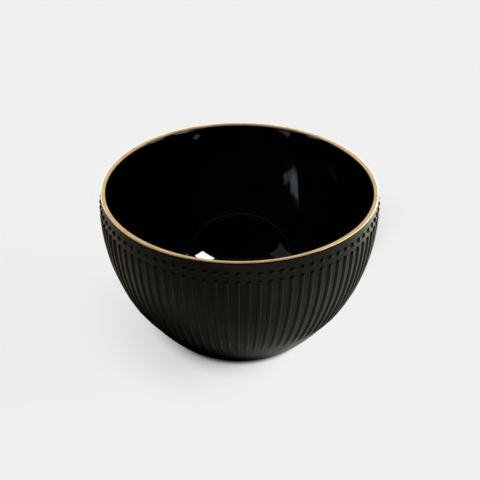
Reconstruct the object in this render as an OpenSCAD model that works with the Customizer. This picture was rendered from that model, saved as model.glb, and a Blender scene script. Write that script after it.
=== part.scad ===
// Footed stoneware bowl: satin black outside with a row of slip beads over slip ribs,
// gloss black liner glaze inside, gold band on the lip. Sizes in millimetres.
// It stands on z = 0 with its axis on Z.

/* [Bowl] */
// Overall height, from the foot to the top of the gold band
bowl_h = 91.5; // [86:0.1:98]
// Radius of the plain wall at its widest, between the ribs
wall_r = 74.5; // [72:0.1:80]
// How far below the top the wall is widest
widest_drop = 8.5; // [6:0.1:12]
// Radius of the outside arc, rim to base
side_arc = 108; // [104:1:116]
// Radius of the arc that turns the base under to the foot
turn_arc = 21; // [12:1:24]
// Radius of the rounded lip under the gold band
lip_r = 1.22; // [1:0.01:1.23]

/* [Inside] */
// Wall thickness at the widest point
wall_t = 2.45; // [2.2:0.05:4]
// Radius of the inside arc of the clay, rim to base
inner_arc = 102.2; // [97:0.1:104]
// Radius of the arc that meets the inside floor
inner_turn = 37.2; // [28:0.1:42]
// Clay thickness under the floor
floor_t = 4.8; // [4:0.1:7]
// Thickness of the liner glaze and of the gold band
coat_t = 0.15; // [0.1:0.05:0.25]

/* [Foot] */
// Height of the foot ring
foot_h = 2; // [1.5:0.1:3]
// Outer radius of the foot ring
foot_r = 31; // [29:0.5:31]
// Width of the foot ring
foot_w = 4; // [3:0.5:6]
// Bevel on the outer and inner edges of the foot ring
foot_bevel = 0.6; // [0.2:0.1:0.8]

/* [Ribs and beads] */
// Number of ribs, with one bead over each
rib_count = 84; // [60:1:84]
// How far a rib stands off the wall
rib_rise = 0.8; // [0.4:0.05:1]
// Half the width of a rib where it meets the wall
rib_half_w = 1.4; // [1.2:0.1:1.9]
// Where the ribs begin, below the widest line
rib_top_drop = 2.2; // [2:0.1:5]
// Where the ribs end, below the widest line
rib_foot_drop = 63; // [50:0.5:64]
// Radius of a bead where it meets the wall
bead_r = 1.75; // [1.4:0.05:2.2]
// How far a bead stands off the wall
bead_rise = 0.8; // [0.5:0.1:1.2]
// Height of the bead row above the widest line
bead_up = 1.6; // [1.6:0.1:5]
// Turn of the whole pattern about the axis, in degrees
pattern_turn = -17.7; // [-30:0.1:30]

/* [Hidden] */
$fn = 96;
widest_z = bowl_h - widest_drop;
side_x = wall_r - side_arc;
// the base turns under where the two outside arcs share a tangent
turn_angle = asin((widest_z - foot_h - turn_arc) / (side_arc - turn_arc));
turn_x = side_x + (side_arc - turn_arc) * cos(turn_angle);
turn_z = foot_h + turn_arc;
turn_join_z = widest_z - side_arc * sin(turn_angle);
// the inside follows the same rule with its own two arcs
inner_x = wall_r - wall_t - inner_arc;
inner_floor_z = foot_h + floor_t;
inner_angle = asin((widest_z - inner_floor_z - inner_turn) / (inner_arc - inner_turn));
inner_turn_x = inner_x + (inner_arc - inner_turn) * cos(inner_angle);
inner_turn_z = inner_floor_z + inner_turn;
// the lip is a half circle midway between the wall's two arcs
lip_z = bowl_h - lip_r - coat_t;
lip_out = side_x + sqrt(side_arc ^ 2 - (lip_z - widest_z) ^ 2);
lip_in = inner_x + sqrt(inner_arc ^ 2 - (lip_z - widest_z) ^ 2);
lip_x = (lip_out + lip_in) / 2;
// a rib's section and a bead's are circle caps, and each stands on the wall's own arc
rib_curve = cap_curve(rib_half_w, rib_rise);
rib_start = asin(rib_top_drop / side_arc);
rib_end = asin(rib_foot_drop / side_arc);
bead_curve = cap_curve(bead_r, bead_rise);
bead_lean = asin(bead_up / side_arc);
far = 200;

// Radius of the circle whose cap has this half width and this height
function cap_curve(half_w, rise) = (half_w ^ 2 + rise ^ 2) / (2 * rise);

// A rectangle of the half plane x > 0 between two heights
module band_2d(low, high) {
    translate([0, low]) square([far, high - low]);
}

// Filled outline of the outside, up to a height
module outside_2d(top) {
    intersection() {
        translate([side_x, widest_z]) circle(side_arc);
        band_2d(turn_join_z, top);
    }
    intersection() {
        translate([turn_x, turn_z]) circle(turn_arc);
        translate([turn_x, 0]) square([far, turn_join_z]);
    }
    translate([0, foot_h]) square([turn_x, turn_join_z - foot_h]);
}

// Filled outline of the hollow, drawn in by a coat, up to a height
module inside_2d(coat, top) {
    join_z = widest_z - (inner_arc - coat) * sin(inner_angle);
    low_z = inner_floor_z + coat;
    intersection() {
        translate([inner_x, widest_z]) circle(inner_arc - coat);
        band_2d(join_z, top);
    }
    intersection() {
        translate([inner_turn_x, inner_turn_z]) circle(inner_turn - coat);
        translate([inner_turn_x, 0]) square([far, join_z]);
    }
    translate([0, low_z]) square([inner_turn_x, join_z - low_z]);
}

// Places its children once for every rib, turned so that the wall's arc lies in the plane z = 0
// about the origin, with its widest point on +X
module each_rib() {
    for (i = [0 : rib_count - 1]) {
        rotate([0, 0, -90 + pattern_turn + i * 360 / rib_count])
            translate([side_x, 0, widest_z])
                rotate([90, 0, 0]) children();
    }
}

module bowl_body() {
    color("#1b1a18") rotate_extrude() {
        difference() {
            outside_2d(lip_z);
            inside_2d(0, bowl_h);
        }
        intersection() {
            translate([lip_x, lip_z]) circle(lip_r);
            band_2d(lip_z, bowl_h);
        }
    }
}

module foot_ring() {
    color("#14130f") rotate_extrude() polygon([
        [foot_r - foot_w, foot_h],
        [foot_r - foot_w, foot_bevel],
        [foot_r - foot_w + foot_bevel, 0],
        [foot_r - foot_bevel, 0],
        [foot_r, foot_bevel],
        [foot_r, foot_h]
    ]);
}

// The ribs are lines of slip that follow the wall down to the base
module rib_row() {
    color("#211f1b") each_rib() rotate([0, 0, -rib_end])
        rotate_extrude(angle = rib_end - rib_start)
            intersection() {
                translate([side_arc + rib_rise - rib_curve, 0]) circle(rib_curve);
                translate([side_arc, -rib_half_w]) square([rib_rise, 2 * rib_half_w]);
            }
}

// The beads are drops of slip, one over the end of each rib
module bead_row() {
    color("#26241f") each_rib() rotate([0, 0, bead_lean])
        translate([side_arc, 0, 0]) rotate([0, 90, 0]) rotate_extrude()
            intersection() {
                translate([0, bead_rise - bead_curve]) circle(bead_curve);
                square([bead_r, bead_rise]);
            }
}

module liner_glaze() {
    color("#050505") rotate_extrude() difference() {
        inside_2d(0, lip_z);
        inside_2d(coat_t, bowl_h);
    }
}

module rim_band() {
    color("#c8a468") rotate_extrude() intersection() {
        difference() {
            translate([lip_x, lip_z]) circle(lip_r + coat_t);
            translate([lip_x, lip_z]) circle(lip_r);
        }
        band_2d(lip_z, bowl_h + coat_t);
    }
}

bowl_body();
foot_ring();
rib_row();
bead_row();
liner_glaze();
rim_band();
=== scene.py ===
"""Looks for the footed ceramic bowl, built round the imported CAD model. Lengths are in metres."""

import math

import bpy
import numpy as np
from mathutils import Matrix, Vector


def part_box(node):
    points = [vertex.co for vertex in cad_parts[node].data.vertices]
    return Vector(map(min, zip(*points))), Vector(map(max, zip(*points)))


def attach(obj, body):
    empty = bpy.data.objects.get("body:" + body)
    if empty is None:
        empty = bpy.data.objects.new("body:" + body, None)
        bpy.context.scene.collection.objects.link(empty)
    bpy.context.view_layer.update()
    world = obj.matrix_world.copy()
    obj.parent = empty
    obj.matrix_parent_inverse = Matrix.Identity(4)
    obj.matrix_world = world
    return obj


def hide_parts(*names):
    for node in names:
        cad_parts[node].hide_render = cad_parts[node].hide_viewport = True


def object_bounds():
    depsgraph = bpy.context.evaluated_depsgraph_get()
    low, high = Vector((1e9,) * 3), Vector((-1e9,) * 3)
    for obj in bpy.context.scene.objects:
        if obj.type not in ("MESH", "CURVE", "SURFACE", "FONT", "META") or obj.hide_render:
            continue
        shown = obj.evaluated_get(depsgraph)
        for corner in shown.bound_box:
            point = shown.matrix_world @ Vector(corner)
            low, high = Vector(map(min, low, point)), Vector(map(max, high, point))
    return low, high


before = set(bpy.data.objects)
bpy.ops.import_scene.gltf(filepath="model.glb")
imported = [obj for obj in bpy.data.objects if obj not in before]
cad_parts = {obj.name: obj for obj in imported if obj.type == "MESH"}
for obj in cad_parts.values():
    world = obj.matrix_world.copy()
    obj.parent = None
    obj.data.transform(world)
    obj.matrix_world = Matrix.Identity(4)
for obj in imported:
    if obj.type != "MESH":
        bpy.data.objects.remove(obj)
cad_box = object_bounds()

MM = 0.001
TAU = 2 * math.pi

# The bowl's arcs, as the CAD model has them: centre (radius, height) and radius of each
TOP_Z = cad_box[1].z
BASE_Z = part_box("bowl_body")[0].z
SIDE = (-33.5 * MM, 83 * MM, 108 * MM)
TURN = (29.5 * MM, 23 * MM, 21 * MM)
INNER_SIDE = (-30.15 * MM, 83 * MM, 102.2 * MM)
INNER_TURN = (21.85 * MM, 44 * MM, 37.2 * MM)
LIP = (73.03 * MM, 90.13 * MM, 1.22 * MM)
# Angles where a side arc passes into the turn below it
SIDE_END = -math.asin(20 / 29)
INNER_END = -math.asin(0.6)
# Angle left open at each end of the lip's half circle
LIP_GAP = 0.1
INNER_FLOOR_Z = INNER_TURN[1] - INNER_TURN[2]
COAT = 0.15 * MM
FOOT_WIDTH = 4 * MM
FOOT_ROUND = 0.6 * MM
WALL_SEGMENTS = 420
BAND_SEGMENTS = 720
FOOT_SEGMENTS = 360

# The ribs and beads. RIB_HALF and PLACE_SCATTER are shares of the pitch, RIB_FOOT_WIDTH of a rib's width
RIB_COUNT = 84
PATTERN_TURN = math.radians(-17.7)
PITCH = TAU / RIB_COUNT
PLACE_SCATTER = 0.012
RIB_HALF = 0.26
RIB_FOOT_WIDTH = 0.55
RIB_RISE = 0.9 * MM
RIB_RISE_SCATTER = 0.05
RIB_ROUND_END = 1.2 * MM
RIB_TOP_Z = 80.8 * MM
RIB_FADE_Z = 31 * MM
RIB_END_Z = 19 * MM
BEAD_Z = 84.6 * MM
BEAD_Z_SCATTER = 0.05 * MM
BEAD_RADIUS = 1.65 * MM
BEAD_RADIUS_SCATTER = 0.03
BEAD_RISE = 0.95 * MM
BEAD_RISE_SCATTER = 0.06
# How far the slip's edges, and the backs of ribs and beads, go into the wall
ROOT = 0.03 * MM
RIB_SINK = 4 * ROOT
BEAD_SINK = 0.2 * MM
# Nearer 1 gives the slip steeper edges
EDGE_LEAN = 0.90

# The gold: how far each edge stops above its end of the lip's half circle, and how much it wanders
BAND_OUT = 0.10 * MM
BAND_OUT_WANDER = 0.16 * MM
BAND_IN = -0.12 * MM
BAND_IN_WANDER = 0.12 * MM
BAND_SINK = 0.1 * MM
BAND_THIN_EDGE = 0.10
BRUSH_LIFT = 0.95 * MM
BRUSH_LIFT_AT = math.radians(8)
BRUSH_LIFT_POWER = 12

# Colours, the two ends of each glaze's drift
SATIN = ((0.0008, 0.0008, 0.0007), (0.0018, 0.0015, 0.0010))
GLOSS = ((0.0003, 0.0003, 0.0004), (0.0006, 0.0006, 0.0006))
GOLD = ((0.84, 0.61, 0.32), (0.72, 0.50, 0.24))
CLAY = ((0.050, 0.044, 0.038), (0.024, 0.021, 0.018))
# The tint of the floor's painted glow, which only the glazes see, warmer towards the left
PAINTED_GLOW_TINT = ((1, 0.97, 0.86), (1, 0.90, 0.66))
PALE_BLUE = (0.72, 0.86, 1.0)
BLUE = (0.62, 0.82, 1.0)

# Brightness of floor and wall to the camera, the floor's own shade, and the wall's brightness to the glaze
PALE = 0.871
FLOOR_SHADE = 0.8
SHINE = 0.80
# Painted shadows on the floor: centre x and y, radius of the dark core, radius where it ends. The left and
# under ones are painted into the glow that only the glazes see; the contact one is a painted contact
# shadow that the camera sees
LEFT_PAINTED_SHADOW = (-38 * MM, -15 * MM, 25 * MM, 80 * MM)
UNDER_PAINTED_SHADOW = (-12 * MM, -2 * MM, 41 * MM, 51 * MM)
CONTACT_PAINTED_SHADOW = (0, 0, 34 * MM, 39 * MM)
# Changes across the floor: azimuth, the two levels, and how far out that way each is reached. The shadow
# side sets how much real shadow the camera sees; the two glows are painted light that only the glazes see
SHADOW_SIDE = (240, 0, 1, -43 * MM, 15 * MM)
RIGHT_GLOW = (60, 0.75, 1.6, 55 * MM, 125 * MM)
FAR_RIGHT_GLOW = (150, 0, 3.0, 60 * MM, 250 * MM)

CARD_DISTANCE = 1.6
CARD_TARGET = (0, 0, 60 * MM)
SUN_DISTANCE = 3
SUN_WIDTH = math.radians(28)
CAMERA_PITCH = math.radians(32.619)
CAMERA_ROLL = math.radians(0.132)
CAMERA_DISTANCE = 0.73


def arc(shape, start, end, count, grow=0.0):
    """Points (radius, height) along one of the bowl's arcs, between two angles from the horizontal."""
    x, z, r = shape
    angle = np.linspace(start, end, count)
    return np.stack([x + (r + grow) * np.cos(angle), z + (r + grow) * np.sin(angle)], 1)


def lean_at(shape, height):
    """Angle from the horizontal at which one of the bowl's arcs passes a height."""
    return math.asin((height - shape[1]) / shape[2])


def ease(t):
    """Smooth step from 0 to 1."""
    t = np.clip(t, 0, 1)
    return t * t * (3 - 2 * t)


def dome(t):
    """Height of a slip line or drop, from 1 in the middle to 0 at its edges, which are steep."""
    full = 1 / EDGE_LEAN
    low = math.sqrt(full**2 - 1)
    return (np.sqrt(full**2 - t**2) - low) / (full - low)


def wobble(angle, seed, waves, size):
    """A gentle closed wave round the axis, made of a few harmonics with fixed phases."""
    rng = np.random.default_rng(seed)
    total = sum(np.sin(n * angle + rng.uniform(0, TAU)) / math.sqrt(n) for n in waves)
    return size * total / len(waves)


def make_piece(name, points, faces, node):
    """A smooth-shaded mesh object that rides on the bowl and stands for one CAD node."""
    mesh = bpy.data.meshes.new(name)
    mesh.from_pydata(np.asarray(points).tolist(), [], [list(map(int, f)) for f in faces])
    mesh.validate()
    mesh.shade_smooth()
    piece = bpy.data.objects.new(name, mesh)
    bpy.context.scene.collection.objects.link(piece)
    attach(piece, "root")
    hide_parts(node)
    return piece


def spin(outline, segments, shift=None):
    """Points and faces of an outline turned about Z. It is closed, or starts and ends on the axis.
    shift(angle, outline) gives each ring its own outline."""
    outline = np.asarray(outline)
    on_axis = outline[0, 0] < 1e-9 and outline[-1, 0] < 1e-9
    rings = outline[1:-1] if on_axis else outline
    angle = np.arange(segments) * TAU / segments
    shaped = np.repeat(rings[None], segments, 0)
    if shift is not None:
        shaped = shift(angle[:, None], shaped)
    x = shaped[..., 0] * np.sin(angle)[:, None]
    y = -shaped[..., 0] * np.cos(angle)[:, None]
    points = np.stack([x, y, shaped[..., 1]], -1).reshape(-1, 3)
    count = len(rings)
    column = np.arange(segments)[:, None] * count
    beside = (np.arange(segments)[:, None] + 1) % segments * count
    row = np.arange(count - 1 if on_axis else count)[None]
    after = (row + 1) % count
    faces = np.stack([column + row, beside + row, beside + after, column + after], -1)
    faces = faces.reshape(-1, 4).tolist()
    if on_axis:
        first, last = len(points), len(points) + 1
        points = np.vstack([points, [0, 0, outline[0, 1]], [0, 0, outline[-1, 1]]])
        for a, b in zip(column[:, 0], beside[:, 0]):
            faces.append([first, b, a])
            faces.append([last, a + count - 1, b + count - 1])
    return points, faces


def on_wall(azimuth, lean, rise):
    """Points on the outside arc: azimuth from the front, lean from the widest line, rise off the wall."""
    x, z, r = SIDE
    reach = x + (r + rise) * np.cos(lean)
    height = z + (r + rise) * np.sin(lean)
    spots = np.broadcast_arrays(reach * np.sin(azimuth), -reach * np.cos(azimuth), height)
    return np.stack(spots, -1)


def wall_piece():
    """The clay from the base to the lip, and back down to the floor of the hollow."""
    outline = np.vstack([
        [[x * MM, BASE_Z] for x in (0, 10, 20, 27)],
        arc(TURN, -math.pi / 2, SIDE_END, 24)[:-1],
        arc(SIDE, SIDE_END, lean_at(SIDE, LIP[1]), 80),
        arc(LIP, LIP_GAP, math.pi - LIP_GAP, 14),
        arc(INNER_SIDE, lean_at(INNER_SIDE, LIP[1]), INNER_END, 30),
        arc(INNER_TURN, INNER_END, -math.pi / 2, 24)[1:],
        [[x * MM, INNER_FLOOR_Z] for x in (10, 0)],
    ])
    points, faces = spin(outline, WALL_SEGMENTS)
    return make_piece("wall_satin_glaze", points, faces, "bowl_body")


def liner_piece():
    """The gloss coat inside: a thin shell with a dense, very smooth face."""
    lip_lean = lean_at(INNER_SIDE, LIP[1])
    back = np.vstack([
        [[x * MM, INNER_FLOOR_Z] for x in (0, 10)],
        arc(INNER_TURN, -math.pi / 2, INNER_END, 24)[:-1],
        arc(INNER_SIDE, INNER_END, lip_lean, 20),
    ])
    face = np.vstack([
        arc(INNER_SIDE, lip_lean, INNER_END, 110, -COAT),
        arc(INNER_TURN, INNER_END, -math.pi / 2, 50, -COAT)[1:],
        [[x * MM, INNER_FLOOR_Z + COAT] for x in (15, 10, 5, 0)],
    ])
    points, faces = spin(np.vstack([back, face]), WALL_SEGMENTS)
    return make_piece("liner_gloss_glaze", points, faces, "liner_glaze")


def band_piece():
    """The gold brushed over the lip: its two edges wander, and the outer one rides up at the front."""
    steps = 33
    x, z, r = LIP
    along = np.linspace(0, 1, steps)

    def shift(angle, outline):
        """The band's section at each angle. The outline passed in only sets how many points it has."""
        front = np.cos((angle - BRUSH_LIFT_AT) / 2) ** BRUSH_LIFT_POWER
        low_out = BRUSH_LIFT * front + BAND_OUT + wobble(angle, 11, (3, 5, 8, 13, 22), BAND_OUT_WANDER)
        low_in = BAND_IN + wobble(angle, 12, (4, 9, 15, 26, 41), BAND_IN_WANDER)
        start = low_out / r
        end = math.pi - low_in / r
        turn = start + (end - start) * along[None]
        lift = COAT * ease(np.minimum(along, 1 - along) / BAND_THIN_EDGE)[None]
        bend = np.clip(turn, 0, math.pi)
        drop = np.where(turn < 0, turn, np.where(turn > math.pi, math.pi - turn, 0)) * r
        face = np.stack([x + (r + lift) * np.cos(bend), z + (r + lift) * np.sin(bend) + drop], -1)
        sunk = r - BAND_SINK
        back = np.stack([x + sunk * np.cos(bend), z + sunk * np.sin(bend) + drop], -1)
        return np.concatenate([face, back[:, ::-1]], 1)

    blank = np.ones((2 * steps, 2))
    points, faces = spin(blank, BAND_SEGMENTS, shift)
    return make_piece("rim_gold_band", points, faces, "rim_band")


def foot_piece():
    """The unglazed ring that it stands on, with worn round edges."""
    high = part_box("foot_ring")[1]
    outer, inner, top = high.x, high.x - FOOT_WIDTH, high.z
    straight = 2 * FOOT_ROUND
    outline = np.vstack([
        [[inner, top], [inner, straight]],
        arc((inner + FOOT_ROUND, FOOT_ROUND, FOOT_ROUND), math.pi, 1.5 * math.pi, 7),
        [[inner + straight, 0], [outer - straight, 0]],
        arc((outer - FOOT_ROUND, FOOT_ROUND, FOOT_ROUND), -math.pi / 2, 0, 7),
        [[outer, straight], [outer, top]],
    ])
    points, faces = spin(outline, FOOT_SEGMENTS)
    return make_piece("foot_bare_clay", points, faces, "foot_ring")


def rib_rows():
    """Every rib as its own closed strip: a crowned face that runs out smoothly into the wall."""
    across = np.sin(np.linspace(-math.pi / 2, math.pi / 2, 21))
    top = lean_at(SIDE, RIB_TOP_Z)
    end = lean_at(SIDE, RIB_END_Z)
    start_run = np.array([0, 0.12, 0.3, 0.55, 0.9, 1.3, 1.7, 2.2]) * MM / SIDE[2]
    lean = np.concatenate([top - start_run, np.linspace(top - 3.4 * MM / SIDE[2], end, 42)])
    height = SIDE[1] + SIDE[2] * np.sin(lean)
    from_top = (top - lean) * SIDE[2]
    round_end = np.sqrt(np.clip(1 - (1 - np.clip(from_top / RIB_ROUND_END, 0, 1)) ** 2, 0, 1))
    fade = ease((height - RIB_END_Z) / (RIB_FADE_Z - RIB_END_Z))
    rise = RIB_RISE * round_end * fade
    taper = RIB_FOOT_WIDTH + (1 - RIB_FOOT_WIDTH) * fade
    half = RIB_HALF * PITCH * np.maximum(round_end, 0.05) * taper
    crown = dome(across[None])
    rng = np.random.default_rng(5)
    points, faces = [], []
    columns = len(across)
    for k in range(RIB_COUNT):
        centre = PATTERN_TURN + k * PITCH + rng.normal(0, PLACE_SCATTER) * PITCH
        tall = rise[:, None] * (1 + rng.normal(0, RIB_RISE_SCATTER))
        azimuth = centre + half[:, None] * across[None]
        face = on_wall(azimuth, lean[:, None], tall * crown - ROOT)
        back = on_wall(azimuth[:, [0, -1]], lean[:, None], -RIB_SINK)
        base = sum(len(p) for p in points)
        points += [face.reshape(-1, 3), back.reshape(-1, 3)]
        under = base + len(lean) * columns
        for i in range(len(lean) - 1):
            a, b = base + i * columns, base + (i + 1) * columns
            faces += [[a + j, b + j, b + j + 1, a + j + 1] for j in range(columns - 1)]
            c, d = under + 2 * i, under + 2 * i + 2
            faces += [[c, c + 1, d + 1, d], [a, c, d, b]]
            faces.append([a + columns - 1, b + columns - 1, d + 1, c + 1])
        last = base + (len(lean) - 1) * columns
        low = under + 2 * (len(lean) - 1)
        faces.append([base + j for j in range(columns)] + [under + 1, under])
        faces.append([last + j for j in reversed(range(columns))] + [low, low + 1])
    return make_piece("slip_ribs", np.vstack(points), faces, "rib_row")


def bead_rows():
    """Every bead as its own closed dome, each a little different as drops of slip are."""
    sides = 28
    angle = np.arange(sides) * TAU / sides
    rings = np.array([0.18, 0.36, 0.53, 0.68, 0.8, 0.9, 0.97, 1.0])
    row_lean = lean_at(SIDE, BEAD_Z)
    rng = np.random.default_rng(9)
    points, faces = [], []
    for k in range(RIB_COUNT):
        size = BEAD_RADIUS * (1 + rng.normal(0, BEAD_RADIUS_SCATTER))
        tall = BEAD_RISE * (1 + rng.normal(0, BEAD_RISE_SCATTER))
        centre = PATTERN_TURN + k * PITCH + rng.normal(0, PLACE_SCATTER) * PITCH
        lean = row_lean + rng.normal(0, BEAD_Z_SCATTER) / SIDE[2]
        reach = SIDE[0] + SIDE[2] * math.cos(lean)
        across = np.outer(rings, np.sin(angle)) * size
        up = np.outer(rings, np.cos(angle)) * size
        swell = dome(rings)[:, None] * tall
        face = on_wall(centre + across / reach, lean + up / SIDE[2], swell - ROOT)
        peak = on_wall(centre, lean, tall - ROOT)
        back = on_wall(centre, lean, -BEAD_SINK)
        base = sum(len(p) for p in points)
        points += [face.reshape(-1, 3), peak[None], back[None]]
        crest, bottom = base + len(rings) * sides, base + len(rings) * sides + 1
        for j in range(sides):
            m = (j + 1) % sides
            faces.append([crest, base + m, base + j])
            for i in range(len(rings) - 1):
                a, b = base + i * sides, base + (i + 1) * sides
                faces.append([a + j, a + m, b + m, b + j])
            a = base + (len(rings) - 1) * sides
            faces.append([a + j, a + m, bottom])
    return make_piece("slip_beads", np.vstack(points), faces, "bead_row")


def around(azimuth, elevation, distance):
    """A place seen from the bowl's mouth: azimuth from the front towards +X, in degrees."""
    a, e = math.radians(azimuth), math.radians(elevation)
    flat = distance * math.cos(e)
    return Vector((flat * math.sin(a), -flat * math.cos(a), TOP_Z + distance * math.sin(e)))


def aim(thing, place, target):
    """Puts a light at a place, pointing at a target."""
    thing.location = place
    thing.rotation_euler = (Vector(target) - Vector(place)).to_track_quat("-Z", "Y").to_euler()


def noise(tree, place, scale, detail, rough=0.5):
    """Noise output at this many features a metre."""
    node = tree.nodes.new("ShaderNodeTexNoise")
    node.inputs["Scale"].default_value = scale
    node.inputs["Detail"].default_value = detail
    node.inputs["Roughness"].default_value = rough
    tree.links.new(place, node.inputs["Vector"])
    return node.outputs["Fac"]


def spread(tree, value, low, high, start=0.35, stop=0.65, curve="LINEAR"):
    """A value mapped from start..stop to low..high. The start and stop left out suit a noise."""
    node = tree.nodes.new("ShaderNodeMapRange")
    node.interpolation_type = curve
    node.inputs["From Min"].default_value = start
    node.inputs["From Max"].default_value = stop
    node.inputs["To Min"].default_value = low
    node.inputs["To Max"].default_value = high
    tree.links.new(value, node.inputs["Value"])
    return node.outputs["Result"]


def blend_colours(tree, value, first, second):
    """A colour between two, by a value from 0 to 1."""
    node = tree.nodes.new("ShaderNodeMix")
    node.data_type = "RGBA"
    node.inputs["A"].default_value = (*first, 1)
    node.inputs["B"].default_value = (*second, 1)
    tree.links.new(value, node.inputs["Factor"])
    return node.outputs["Result"]


def blend_shaders(tree, value, first, second):
    """A shader between two, by a value from 0 to 1."""
    node = tree.nodes.new("ShaderNodeMixShader")
    tree.links.new(value, node.inputs[0])
    tree.links.new(first, node.inputs[1])
    tree.links.new(second, node.inputs[2])
    return node.outputs[0]


def choose(tree, switch, off, on):
    """One of two outputs, by a switch output."""
    node = tree.nodes.new("ShaderNodeMix")
    tree.links.new(switch, node.inputs["Factor"])
    tree.links.new(off, node.inputs["A"])
    tree.links.new(on, node.inputs["B"])
    return node.outputs["Result"]


def combine(tree, operation, first, second):
    """Two outputs added or multiplied."""
    node = tree.nodes.new("ShaderNodeMath")
    node.operation = operation
    tree.links.new(first, node.inputs[0])
    tree.links.new(second, node.inputs[1])
    return node.outputs["Value"]


def facing(tree, way, azimuth, elevation):
    """How far a direction or a place lies towards somewhere round the bowl."""
    node = tree.nodes.new("ShaderNodeVectorMath")
    node.operation = "DOT_PRODUCT"
    node.inputs[1].default_value = around(azimuth, elevation, 1) - Vector((0, 0, TOP_Z))
    tree.links.new(way, node.inputs[0])
    return node.outputs["Value"]


def shadow_patch(tree, place, shape):
    """0 in the core of a round painted shadow on the floor, easing to 1 where it ends."""
    x, y, core, edge = shape
    node = tree.nodes.new("ShaderNodeVectorMath")
    node.operation = "DISTANCE"
    node.inputs[1].default_value = (x, y, 0)
    tree.links.new(place, node.inputs[0])
    return spread(tree, node.outputs["Value"], 0, 1, core, edge, "SMOOTHSTEP")


def ramp(tree, place, change):
    """A level that eases from one value to another across the floor."""
    azimuth, low, high, start, stop = change
    return spread(tree, facing(tree, place, azimuth, 0), low, high, start, stop, "SMOOTHSTEP")


def bump(tree, shader, heights):
    """Bumps laid over each other, each (height output, depth in metres)."""
    normal = None
    for height, depth in heights:
        node = tree.nodes.new("ShaderNodeBump")
        node.inputs["Strength"].default_value = 1.0
        node.inputs["Distance"].default_value = depth
        tree.links.new(height, node.inputs["Height"])
        if normal is not None:
            tree.links.new(normal, node.inputs["Normal"])
        normal = node.outputs["Normal"]
    tree.links.new(normal, shader.inputs["Normal"])


def new_material(name, colours, scale, detail, rough=0.5):
    """A material whose colour drifts between two with a noise. Returns what its maker goes on with."""
    material = bpy.data.materials.new(name)
    material.use_nodes = True
    tree = material.node_tree
    shader = tree.nodes["Principled BSDF"]
    place = tree.nodes.new("ShaderNodeTexCoord").outputs["Object"]
    drift = noise(tree, place, scale, detail, rough)
    colour = blend_colours(tree, spread(tree, drift, 0, 1), *colours)
    tree.links.new(colour, shader.inputs["Base Color"])
    return material, tree, shader, place


def satin_glaze(name, rough):
    """Satin black glaze: fine tooth, slow warm and cool drifts, and small changes of sheen."""
    material, tree, shader, place = new_material(name, SATIN, 38, 3)
    sheen = noise(tree, place, 160, 4)
    tree.links.new(spread(tree, sheen, rough - 0.04, rough + 0.05), shader.inputs["Roughness"])
    shader.inputs["Specular IOR Level"].default_value = 0.07
    swell = noise(tree, place, 300, 2)
    tooth = noise(tree, place, 2400, 2)
    bump(tree, shader, [(swell, 0.05 * MM), (tooth, 0.004 * MM)])
    return material


def gloss_glaze():
    """Gloss black liner: near mirror, with the faint orange-peel flow of a poured glaze."""
    material, tree, shader, place = new_material("gloss_glaze", GLOSS, 45, 3)
    tree.links.new(spread(tree, noise(tree, place, 90, 3), 0.02, 0.05), shader.inputs["Roughness"])
    shader.inputs["Specular IOR Level"].default_value = 0.2
    bump(tree, shader, [(noise(tree, place, 70, 1), 0.05 * MM)])
    return material


def gold_lustre():
    """Brushed-on gold: warm metal, thinner and duller here and there."""
    material, tree, shader, place = new_material("gold_lustre", GOLD, 140, 4)
    tree.links.new(spread(tree, noise(tree, place, 420, 3), 0.14, 0.22), shader.inputs["Roughness"])
    shader.inputs["Metallic"].default_value = 1.0
    bump(tree, shader, [(noise(tree, place, 200, 1), 0.01 * MM)])
    return material


def bare_clay():
    """Dry dark stoneware with fine grog."""
    material, tree, shader, place = new_material("bare_clay", CLAY, 1500, 3, 0.6)
    tree.links.new(spread(tree, noise(tree, place, 400, 2), 0.75, 0.9), shader.inputs["Roughness"])
    shader.inputs["Specular IOR Level"].default_value = 0.25
    bump(tree, shader, [(noise(tree, place, 900, 4, 0.7), 0.06 * MM)])
    return material


def paint(piece, material):
    """Gives a piece its one material."""
    piece.data.materials.clear()
    piece.data.materials.append(material)


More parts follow.
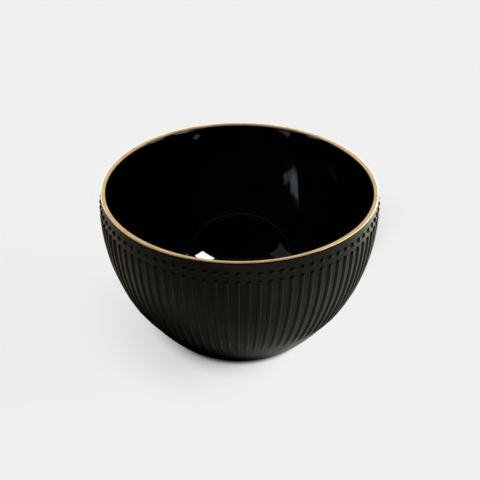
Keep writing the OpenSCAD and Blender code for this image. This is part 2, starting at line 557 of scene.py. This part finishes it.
def make_floor():
    """A pale floor. The camera sees real shadows on its left side only, and a painted contact shadow round
    the base. The glaze sees no lit floor but a painted glow: painted shadow under the bowl and at the
    left, painted light at the far right."""
    bpy.ops.mesh.primitive_plane_add(size=40)
    floor = bpy.context.object
    floor.name = "studio_floor"
    material = bpy.data.materials.new("studio_floor")
    material.use_nodes = True
    tree = material.node_tree
    tree.nodes.clear()
    place = tree.nodes.new("ShaderNodeTexCoord").outputs["Object"]
    lit = tree.nodes.new("ShaderNodeBsdfDiffuse")
    lit.inputs["Color"].default_value = (FLOOR_SHADE, FLOOR_SHADE, FLOOR_SHADE, 1)
    even = tree.nodes.new("ShaderNodeEmission")
    even.inputs["Strength"].default_value = PALE
    seen = blend_shaders(tree, ramp(tree, place, SHADOW_SIDE), even.outputs[0], lit.outputs[0])
    # A painted contact shadow: the floor goes black near the base, for the camera only
    dark = tree.nodes.new("ShaderNodeEmission")
    dark.inputs["Strength"].default_value = 0.0
    seen = blend_shaders(tree, shadow_patch(tree, place, CONTACT_PAINTED_SHADOW), dark.outputs[0], seen)
    # What the glazes see of the floor: a painted glow, with painted light to the right and painted shadows
    # under and left of the bowl
    glow = tree.nodes.new("ShaderNodeEmission")
    glow_tint_mix = spread(tree, facing(tree, place, 270, 0), 0, 1, -50 * MM, 150 * MM)
    tree.links.new(blend_colours(tree, glow_tint_mix, *PAINTED_GLOW_TINT), glow.inputs["Color"])
    shade = combine(tree, "MULTIPLY", shadow_patch(tree, place, UNDER_PAINTED_SHADOW), shadow_patch(tree, place, LEFT_PAINTED_SHADOW))
    light = combine(tree, "ADD", ramp(tree, place, RIGHT_GLOW), ramp(tree, place, FAR_RIGHT_GLOW))
    tree.links.new(combine(tree, "MULTIPLY", shade, light), glow.inputs["Strength"])
    camera_ray = tree.nodes.new("ShaderNodeLightPath").outputs["Is Camera Ray"]
    surface = blend_shaders(tree, camera_ray, glow.outputs[0], seen)
    tree.links.new(surface, tree.nodes.new("ShaderNodeOutputMaterial").inputs["Surface"])
    floor.data.materials.append(material)


def make_world():
    """The studio round the bowl. Glazes see a pale wall behind it, and darkness above and in front."""
    world = bpy.data.worlds.new("studio")
    world.use_nodes = True
    tree = world.node_tree
    back = tree.nodes["Background"]
    way = tree.nodes.new("ShaderNodeTexCoord").outputs["Generated"]
    rays = tree.nodes.new("ShaderNodeLightPath").outputs
    shine = spread(tree, facing(tree, way, 180, 20), 0, SHINE, -0.1, 0.35)
    pale = spread(tree, rays["Is Camera Ray"], 0, PALE, 0, 1)
    tree.links.new(choose(tree, rays["Is Glossy Ray"], pale, shine), back.inputs["Strength"])
    back.inputs["Color"].default_value = (1, 1, 1, 1)
    bpy.context.scene.world = world


def add_card(name, azimuth, elevation, wide, tall, bright, piece, colour=(1, 1, 1)):
    """A soft box, sized in degrees, that shows only as a reflection in one piece."""
    data = bpy.data.lights.new(name, "AREA")
    data.shape = "RECTANGLE"
    data.size = 2 * CARD_DISTANCE * math.tan(math.radians(wide / 2))
    data.size_y = 2 * CARD_DISTANCE * math.tan(math.radians(tall / 2))
    data.energy = bright * math.pi * data.size * data.size_y
    data.color = colour
    light = bpy.data.objects.new(name, data)
    bpy.context.scene.collection.objects.link(light)
    aim(light, around(azimuth, elevation, CARD_DISTANCE), CARD_TARGET)
    light.visible_camera = False
    light.visible_diffuse = False
    seen_in = bpy.data.collections.new(name)
    seen_in.objects.link(piece)
    light.light_linking.receiver_collection = seen_in


def add_sun(name, azimuth, elevation, share):
    """A wide soft light that gives this share of the floor's brightness, and no highlights."""
    data = bpy.data.lights.new(name, "SUN")
    data.energy = share * PALE * math.pi / (FLOOR_SHADE * math.sin(math.radians(elevation)))
    data.angle = SUN_WIDTH
    light = bpy.data.objects.new(name, data)
    bpy.context.scene.collection.objects.link(light)
    aim(light, around(azimuth, elevation, SUN_DISTANCE), (0, 0, TOP_Z))
    light.visible_glossy = False


def make_camera():
    """The camera of the picture: its pitch, roll, and a point on the bowl's axis that it looks past."""
    forward = Vector((0, math.cos(CAMERA_PITCH), -math.sin(CAMERA_PITCH)))
    right = Vector((1, 0, 0))
    up = Vector((0, math.sin(CAMERA_PITCH), math.cos(CAMERA_PITCH)))
    across = right * math.cos(CAMERA_ROLL) + up * math.sin(CAMERA_ROLL)
    upward = up * math.cos(CAMERA_ROLL) - right * math.sin(CAMERA_ROLL)
    target = Vector((0.3 * MM, 0, TOP_Z - 34.19 * MM))
    place = target - forward * CAMERA_DISTANCE
    data = bpy.data.cameras.new("camera")
    data.sensor_width = 36
    data.lens = 99.555
    data.clip_start = 0.01
    camera = bpy.data.objects.new("camera", data)
    bpy.context.scene.collection.objects.link(camera)
    turn = Matrix((across, upward, -forward)).transposed().to_4x4()
    camera.matrix_world = Matrix.Translation(place) @ turn
    bpy.context.scene.camera = camera


wall = wall_piece()
liner = liner_piece()
band = band_piece()
foot = foot_piece()
ribs = rib_rows()
beads = bead_rows()

paint(wall, satin_glaze("satin_glaze", 0.27))
paint(ribs, satin_glaze("rib_glaze", 0.25))
paint(beads, satin_glaze("bead_glaze", 0.25))
paint(liner, gloss_glaze())
paint(band, gold_lustre())
paint(foot, bare_clay())

make_floor()
make_world()
make_camera()
add_sun("front_left_light", 315, 52, 0.79)
add_sun("top_light", 0, 80, 0.09)
add_sun("left_light", 270, 78, 0.08)
add_sun("right_light", 90, 12, 0.04)
add_card("key_box", 60, 50, 11, 19, 70, liner)
add_card("side_box", -66, 41, 24, 19, 0.7, liner)
add_card("right_upper_strip", 88, 32.5, 20, 1.6, 120, liner, PALE_BLUE)
add_card("right_lower_strip", 80, 30.9, 13, 2.2, 170, liner, PALE_BLUE)
add_card("left_window", -77, 43, 7, 8, 130, liner, BLUE)
add_card("front_box", 0, 45, 140, 50, 0.22, band)

bpy.context.scene.view_settings.view_transform = "Standard"
